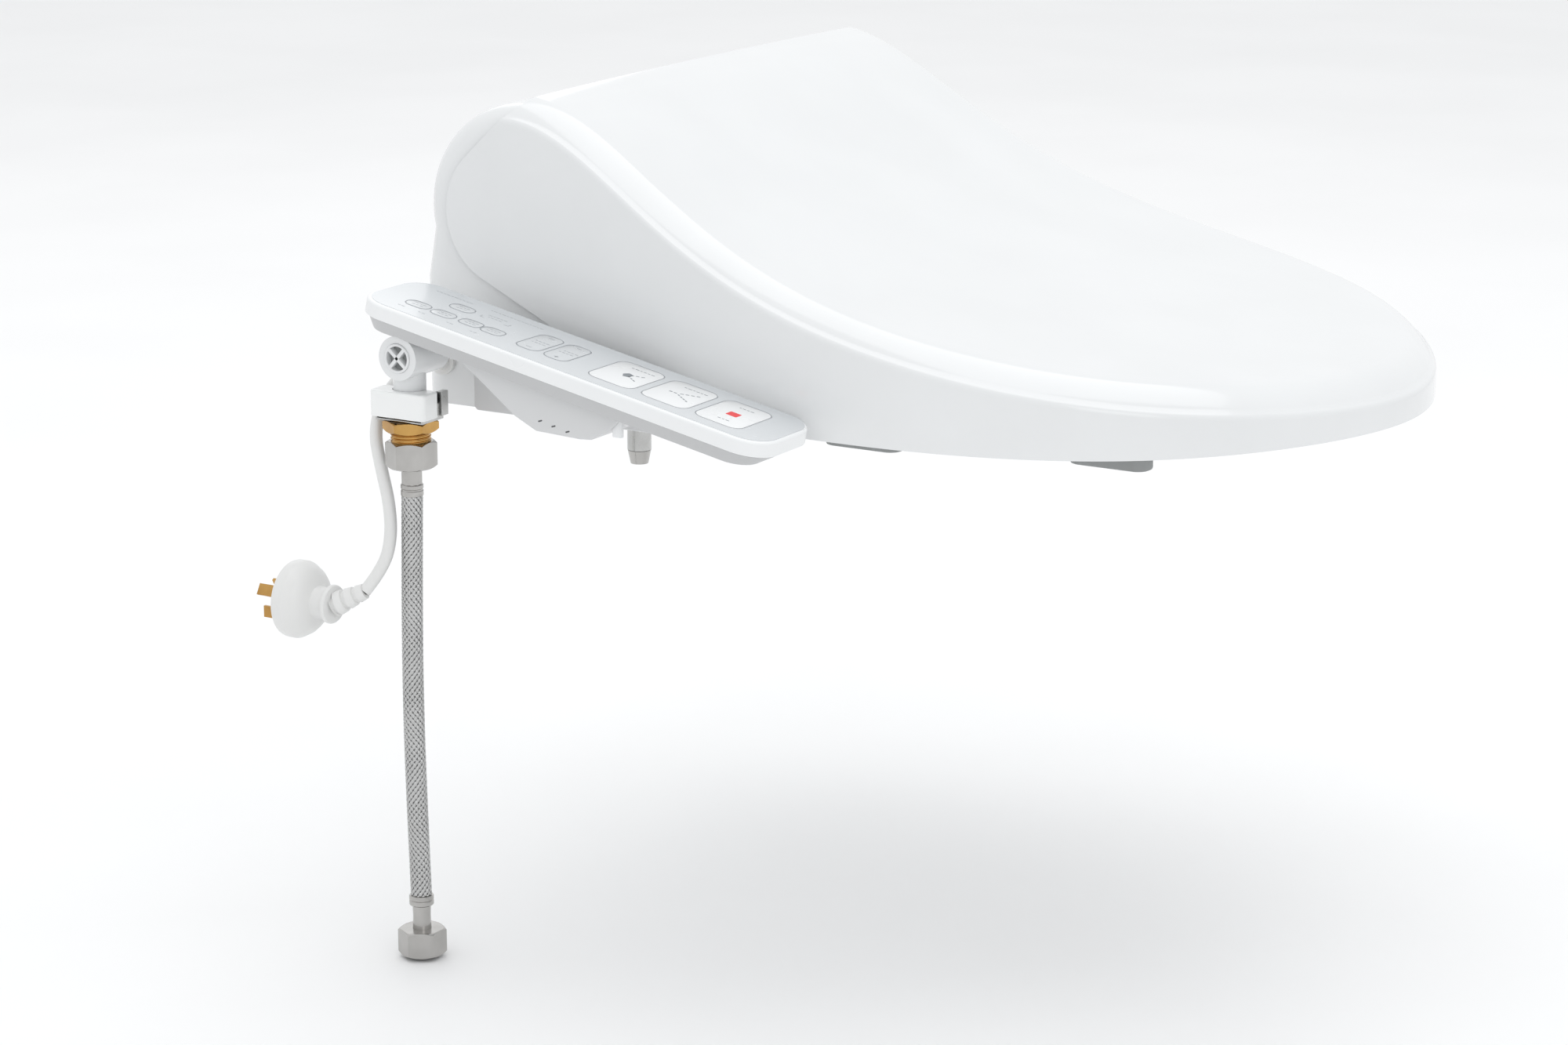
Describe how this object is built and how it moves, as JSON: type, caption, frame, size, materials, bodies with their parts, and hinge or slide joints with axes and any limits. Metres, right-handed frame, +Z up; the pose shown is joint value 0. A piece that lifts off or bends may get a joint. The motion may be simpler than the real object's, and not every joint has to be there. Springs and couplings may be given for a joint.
{
  "type": "electric bidet seat",
  "caption": "Electric bidet toilet seat with a swooping lid, a heated seat ring, a side control panel, a water hose and a mains lead.",
  "frame": {"origin": "midway between the two bowl bolts, on the plane of the bowl's rim, under the mounting plate", "axes": "+Z up, -Y towards the front of the seat, +Y to the wall, the control panel on the -X side"},
  "size_m": [0.4835, 0.5495, 0.4636],
  "materials": {
    "lid": "high gloss white",
    "white_plastic": "gloss white",
    "grey_white_plastic": "satin grey-white",
    "key_plastic": "satin white film with printed symbols",
    "clear_white": "milky gloss",
    "dark_plastic": "matt",
    "black_rubber": "soft",
    "grey_rubber": "soft",
    "white_rubber": "soft",
    "steel": "brushed",
    "nickel": "satin nickel plate",
    "brass": "dull, turned",
    "braid": "braided stainless wire",
    "circuit": "green solder mask",
    "copper": "copper foil",
    "cord": "smooth white PVC"
  },
  "bodies": {
    "casing": {"adapter": "brass", "base_tray": "white_plastic", "bolt_washers": "grey_rubber", "bowl_bolts": "steel", "check_valve": "dark_plastic", "clip_cover": "clear_white", "control_board": "circuit", "cord_relief": "cord", "deodoriser_cartridge": "grey_white_plastic", "dryer_duct": "grey_white_plastic", "dryer_fan_case": "dark_plastic", "expansion_nuts": "nickel", "flow_divider_valve": "grey_white_plastic", "heater_tank": "dark_plastic", "hinge_pins": "steel", "hose_ferrules": "nickel", "hose_nut_top": "nickel", "hose_washers": "black_rubber", "inlet_elbow": "white_plastic", "mounting_plate": "white_plastic", "nozzle_cradle": "grey_white_plastic", "nozzle_guard": "grey_white_plastic", "nozzle_motors": "steel", "panel_board": "circuit", "panel_bracket": "grey_white_plastic", "panel_lower_shell": "grey_white_plastic", "panel_upper_shell": "white_plastic", "plug_body": "cord", "plug_pins": "brass", "power_cord": "cord", "quick_clip": "steel", "rear_casing": "white_plastic", "soft_close_dampers": "dark_plastic", "solenoid_valve": "dark_plastic", "supply_hose": "braid", "transformer": "dark_plastic"},
    "seat": {"seat_upper_shell": "white_plastic", "seat_lower_shell": "white_plastic", "seat_heating_foil": "copper", "seat_bumpers": "grey_rubber"},
    "lid": {"lid": "lid", "lid_bumpers": "white_rubber"},
    "nozzle_feminine": {"nozzle_feminine": "white_plastic"},
    "nozzle_posterior": {"nozzle_posterior": "white_plastic"},
    "pinion_feminine": {"pinion_feminine": "white_plastic"},
    "pinion_posterior": {"pinion_posterior": "white_plastic"},
    "filter_plug": {"filter_plug": "white_plastic"},
    "hose_nut_bottom": {"hose_nut_bottom": "nickel"},
    "dryer_impeller": {"dryer_impeller": "grey_white_plastic"},
    "key_dryer": {"key_dryer": "key_plastic"},
    "key_feminine": {"key_feminine": "key_plastic"},
    "key_massage": {"key_massage": "key_plastic"},
    "key_nozzle_position": {"key_nozzle_position": "key_plastic"},
    "key_posterior": {"key_posterior": "key_plastic"},
    "key_power_saving": {"key_power_saving": "key_plastic"},
    "key_seat_temp": {"key_seat_temp": "key_plastic"},
    "key_stop": {"key_stop": "key_plastic"},
    "key_water_strength": {"key_water_strength": "key_plastic"},
    "key_water_temp": {"key_water_temp": "key_plastic"}
  },
  "joints": [
    {"name": "seat_hinge", "type": "hinge", "parent": "casing", "child": "seat", "pos_m": [0, 0.012, 0.107], "axis": [1, 0, 0], "range_deg": [-95, 0]},
    {"name": "lid_hinge", "type": "hinge", "parent": "seat", "child": "lid", "pos_m": [0, 0.012, 0.107], "axis": [-1, 0, 0], "range_deg": [0, 105]},
    {"name": "nozzle_feminine_slide", "type": "slide", "parent": "casing", "child": "nozzle_feminine", "axis": [0, -0.891, -0.454], "range_m": [0, 0.085]},
    {"name": "pinion_feminine_spin", "type": "hinge", "parent": "casing", "child": "pinion_feminine", "pos_m": [-0.011, -0.06302, 0.02978], "axis": [-1, 0, 0], "range_deg": [0, 690]},
    {"name": "nozzle_posterior_slide", "type": "slide", "parent": "casing", "child": "nozzle_posterior", "axis": [0, -0.891, -0.454], "range_m": [0, 0.085]},
    {"name": "pinion_posterior_spin", "type": "hinge", "parent": "casing", "child": "pinion_posterior", "pos_m": [0.011, -0.06302, 0.02978], "axis": [-1, 0, 0], "range_deg": [0, 690]},
    {"name": "key_dryer_press", "type": "slide", "parent": "casing", "child": "key_dryer", "axis": [0, 0.2062, -0.9785], "range_m": [0, 0.0006], "stiffness_N_per_m": 1500},
    {"name": "key_feminine_press", "type": "slide", "parent": "casing", "child": "key_feminine", "axis": [0, 0.2062, -0.9785], "range_m": [0, 0.0006], "stiffness_N_per_m": 1500},
    {"name": "key_massage_press", "type": "slide", "parent": "casing", "child": "key_massage", "axis": [0, 0.2062, -0.9785], "range_m": [0, 0.0006], "stiffness_N_per_m": 1500},
    {"name": "key_nozzle_position_press", "type": "slide", "parent": "casing", "child": "key_nozzle_position", "axis": [0, 0.2062, -0.9785], "range_m": [0, 0.0006], "stiffness_N_per_m": 1500},
    {"name": "key_posterior_press", "type": "slide", "parent": "casing", "child": "key_posterior", "axis": [0, 0.2062, -0.9785], "range_m": [0, 0.0006], "stiffness_N_per_m": 1500},
    {"name": "key_power_saving_press", "type": "slide", "parent": "casing", "child": "key_power_saving", "axis": [0, 0.2062, -0.9785], "range_m": [0, 0.0006], "stiffness_N_per_m": 1500},
    {"name": "key_seat_temp_press", "type": "slide", "parent": "casing", "child": "key_seat_temp", "axis": [0, 0.2062, -0.9785], "range_m": [0, 0.0006], "stiffness_N_per_m": 1500},
    {"name": "key_stop_press", "type": "slide", "parent": "casing", "child": "key_stop", "axis": [0, 0.2062, -0.9785], "range_m": [0, 0.0006], "stiffness_N_per_m": 1500},
    {"name": "key_water_strength_press", "type": "slide", "parent": "casing", "child": "key_water_strength", "axis": [0, 0.2062, -0.9785], "range_m": [0, 0.0006], "stiffness_N_per_m": 1500},
    {"name": "key_water_temp_press", "type": "slide", "parent": "casing", "child": "key_water_temp", "axis": [0, 0.2062, -0.9785], "range_m": [0, 0.0006], "stiffness_N_per_m": 1500},
    {"name": "filter_plug_turn", "type": "hinge", "parent": "casing", "child": "filter_plug", "pos_m": [-0.252, 0.038, 0.039], "axis": [1, 0, 0], "range_deg": [0, 90]},
    {"name": "hose_nut_spin", "type": "hinge", "parent": "casing", "child": "hose_nut_bottom", "pos_m": [-0.24, 0.039, -0.286], "axis": [0, 0, 1], "continuous": true},
    {"name": "impeller_spin", "type": "hinge", "parent": "casing", "child": "dryer_impeller", "pos_m": [0.096, 0.008, 0.056], "axis": [1, 0, 0], "continuous": true}
  ],
  "couplings": [
    {"joint": "pinion_feminine_spin", "follows": "nozzle_feminine_slide", "rad_per_m": 138.89},
    {"joint": "pinion_posterior_spin", "follows": "nozzle_posterior_slide", "rad_per_m": 138.89}
  ]
}
